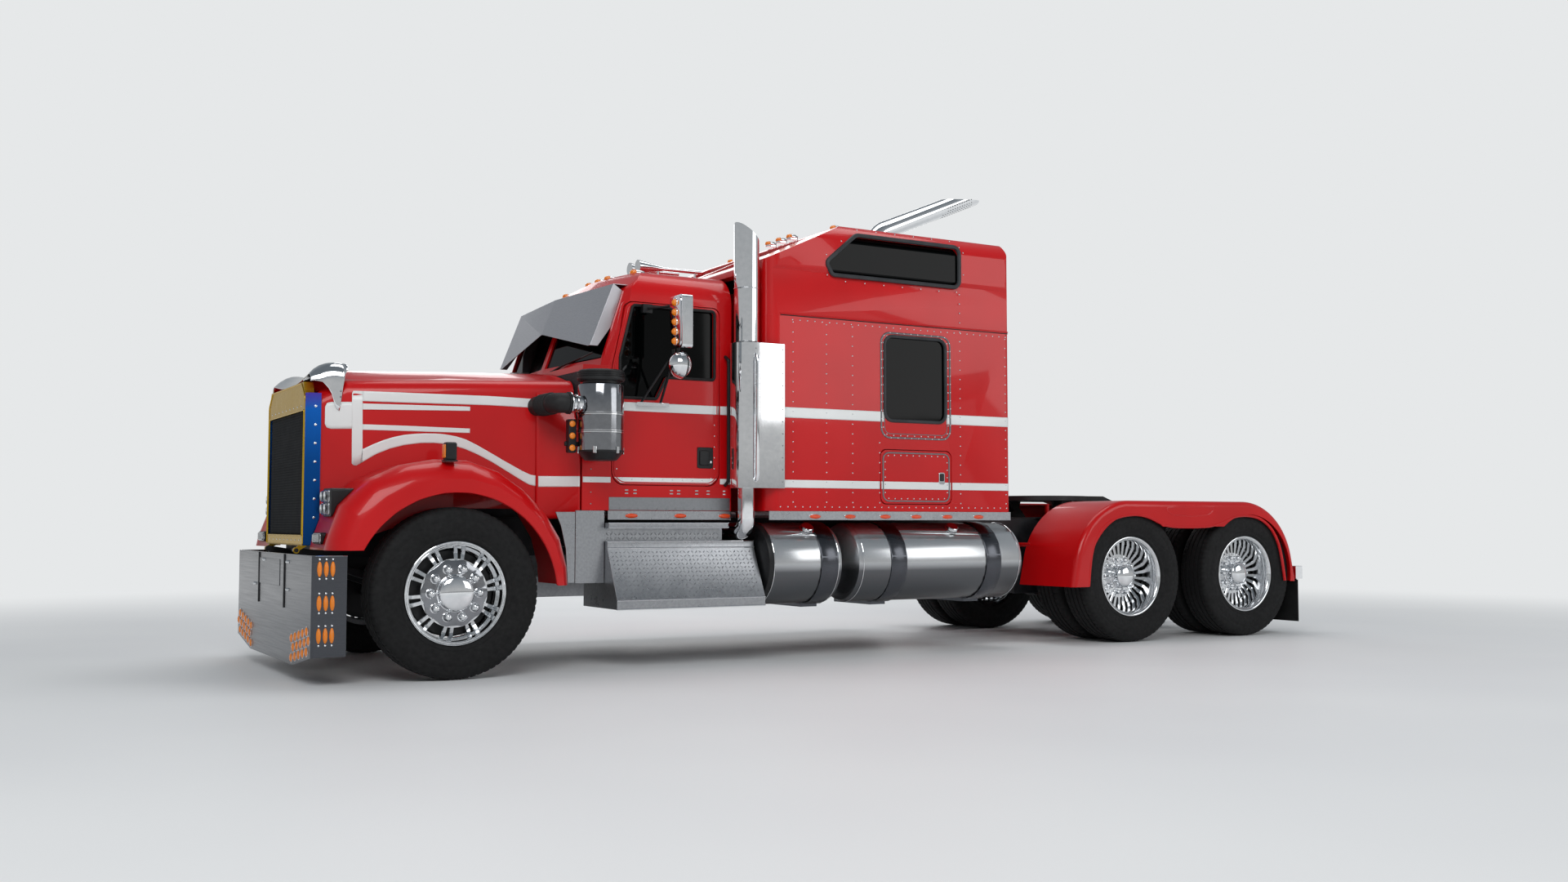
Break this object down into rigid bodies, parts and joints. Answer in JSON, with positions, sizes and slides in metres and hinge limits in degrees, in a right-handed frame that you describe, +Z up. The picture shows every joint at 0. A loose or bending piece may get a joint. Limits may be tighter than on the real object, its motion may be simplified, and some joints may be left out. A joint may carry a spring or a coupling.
{
  "type": "semi truck tractor unit",
  "caption": "Three-axle semi truck tractor with long hood, sleeper cab, tilting hood, opening doors, steered front wheels, twin-tyre tandem and fifth wheel.",
  "frame": {"origin": "on the ground below the middle of the overall box", "axes": "nose towards -X, driver's side towards -Y, +Z up"},
  "size_m": [8.5764, 2.91, 4.0552],
  "materials": {
    "red_paint": "gloss red paint with white stripes",
    "frame_black": "satin black chassis paint",
    "fifth_wheel_iron": "greased dark cast steel",
    "engine_iron": "cast iron",
    "radiator_alloy": "matte alloy core",
    "bumper_steel": "smoked brushed steel",
    "grille_trim": "gold and blue tinted metal",
    "grille_black": "black",
    "bright_chrome": "polished chrome",
    "lamp_housing": "black lamp with clear lens",
    "black_rubber": "black rubber",
    "cab_trim": "dark grey trim",
    "dark_glass": "dark tinted glass",
    "amber_lens": "amber lens",
    "seat_cloth": "dark woven cloth",
    "polished_alloy": "polished aluminium",
    "tyre_rubber": "black tyre rubber",
    "wheel_alloy": "polished forged alloy"
  },
  "bodies": {
    "chassis": {"air_cleaners": "bright_chrome", "bumper": "bumper_steel", "cab_floor": "cab_trim", "cab_shell": "red_paint", "engine": "engine_iron", "exhaust_stacks": "bright_chrome", "fifth_wheel_base": "frame_black", "frame_rails": "frame_black", "front_axle": "frame_black", "fuel_tanks": "polished_alloy", "horns": "bright_chrome", "marker_lamps": "amber_lens", "mud_flaps": "black_rubber", "radiator": "radiator_alloy", "rear_axles": "frame_black", "rear_fenders": "red_paint", "rear_suspension": "frame_black", "seats": "seat_cloth", "side_steps": "polished_alloy", "sleeper_body": "red_paint", "sleeper_roof": "red_paint", "tail_brackets": "frame_black", "tank_straps": "black_rubber", "visor": "bright_chrome", "windows": "dark_glass"},
    "hood": {"hood_shell": "red_paint", "grille_surround": "grille_trim", "grille_mesh": "grille_black", "hood_scoop": "bright_chrome", "headlamps": "lamp_housing", "intake_elbows": "black_rubber"},
    "door_left": {"door_left": "red_paint", "door_glass_left": "dark_glass", "mirror_left": "bright_chrome"},
    "luggage_left": {"luggage_door_left": "red_paint"},
    "steering_left": {"knuckle_left": "frame_black"},
    "front_road_wheel_left": {"front_wheel_left": "wheel_alloy", "front_tyre_left": "tyre_rubber"},
    "rear_road_wheels_1_left": {"rear_wheels_1_left": "wheel_alloy", "rear_tyres_1_left": "tyre_rubber"},
    "rear_road_wheels_2_left": {"rear_wheels_2_left": "wheel_alloy", "rear_tyres_2_left": "tyre_rubber"},
    "door_right": {"door_right": "red_paint", "door_glass_right": "dark_glass", "mirror_right": "bright_chrome"},
    "luggage_right": {"luggage_door_right": "red_paint"},
    "steering_right": {"knuckle_right": "frame_black"},
    "front_road_wheel_right": {"front_wheel_right": "wheel_alloy", "front_tyre_right": "tyre_rubber"},
    "rear_road_wheels_1_right": {"rear_wheels_1_right": "wheel_alloy", "rear_tyres_1_right": "tyre_rubber"},
    "rear_road_wheels_2_right": {"rear_wheels_2_right": "wheel_alloy", "rear_tyres_2_right": "tyre_rubber"},
    "coupling_plate": {"fifth_wheel_plate": "fifth_wheel_iron"}
  },
  "joints": [
    {"name": "hood_tilt", "type": "hinge", "parent": "chassis", "child": "hood", "pos_m": [-4.21625, 0, 0.797], "axis": [0, -1, 0], "range_deg": [0, 55]},
    {"name": "door_left_swing", "type": "hinge", "parent": "chassis", "child": "door_left", "pos_m": [-2.28625, -1.004, 1.9], "axis": [0, 0, -1], "range_deg": [0, 65]},
    {"name": "luggage_left_swing", "type": "hinge", "parent": "chassis", "child": "luggage_left", "pos_m": [-0.23925, -1.224, 1.311], "axis": [0, 0, -1], "range_deg": [0, 90]},
    {"name": "steer_left", "type": "hinge", "parent": "chassis", "child": "steering_left", "pos_m": [-3.40225, -0.925, 0.535], "axis": [0, 0, 1], "range_deg": [-32, 32]},
    {"name": "front_left_roll", "type": "hinge", "parent": "steering_left", "child": "front_road_wheel_left", "pos_m": [-3.40225, -1.077, 0.535], "axis": [0, 1, 0], "continuous": true},
    {"name": "rear_1_left_roll", "type": "hinge", "parent": "chassis", "child": "rear_road_wheels_1_left", "pos_m": [2.26525, -0.9095, 0.535], "axis": [0, 1, 0], "continuous": true},
    {"name": "rear_2_left_roll", "type": "hinge", "parent": "chassis", "child": "rear_road_wheels_2_left", "pos_m": [3.59825, -0.9095, 0.535], "axis": [0, 1, 0], "continuous": true},
    {"name": "door_right_swing", "type": "hinge", "parent": "chassis", "child": "door_right", "pos_m": [-2.28625, 1.004, 1.9], "axis": [0, 0, 1], "range_deg": [0, 65]},
    {"name": "luggage_right_swing", "type": "hinge", "parent": "chassis", "child": "luggage_right", "pos_m": [-0.23925, 1.224, 1.311], "axis": [0, 0, 1], "range_deg": [0, 90]},
    {"name": "steer_right", "type": "hinge", "parent": "chassis", "child": "steering_right", "pos_m": [-3.40225, 0.925, 0.535], "axis": [0, 0, 1], "range_deg": [-32, 32]},
    {"name": "front_right_roll", "type": "hinge", "parent": "steering_right", "child": "front_road_wheel_right", "pos_m": [-3.40225, 1.077, 0.535], "axis": [0, 1, 0], "continuous": true},
    {"name": "rear_1_right_roll", "type": "hinge", "parent": "chassis", "child": "rear_road_wheels_1_right", "pos_m": [2.26525, 0.9095, 0.535], "axis": [0, 1, 0], "continuous": true},
    {"name": "rear_2_right_roll", "type": "hinge", "parent": "chassis", "child": "rear_road_wheels_2_right", "pos_m": [3.59825, 0.9095, 0.535], "axis": [0, 1, 0], "continuous": true},
    {"name": "coupling_plate_tilt", "type": "hinge", "parent": "chassis", "child": "coupling_plate", "pos_m": [2.27175, 0, 1.112], "axis": [0, 1, 0], "range_deg": [-10, 10]}
  ],
  "couplings": [
    {"joint": "steer_right", "follows": "steer_left", "ratio": 1}
  ]
}
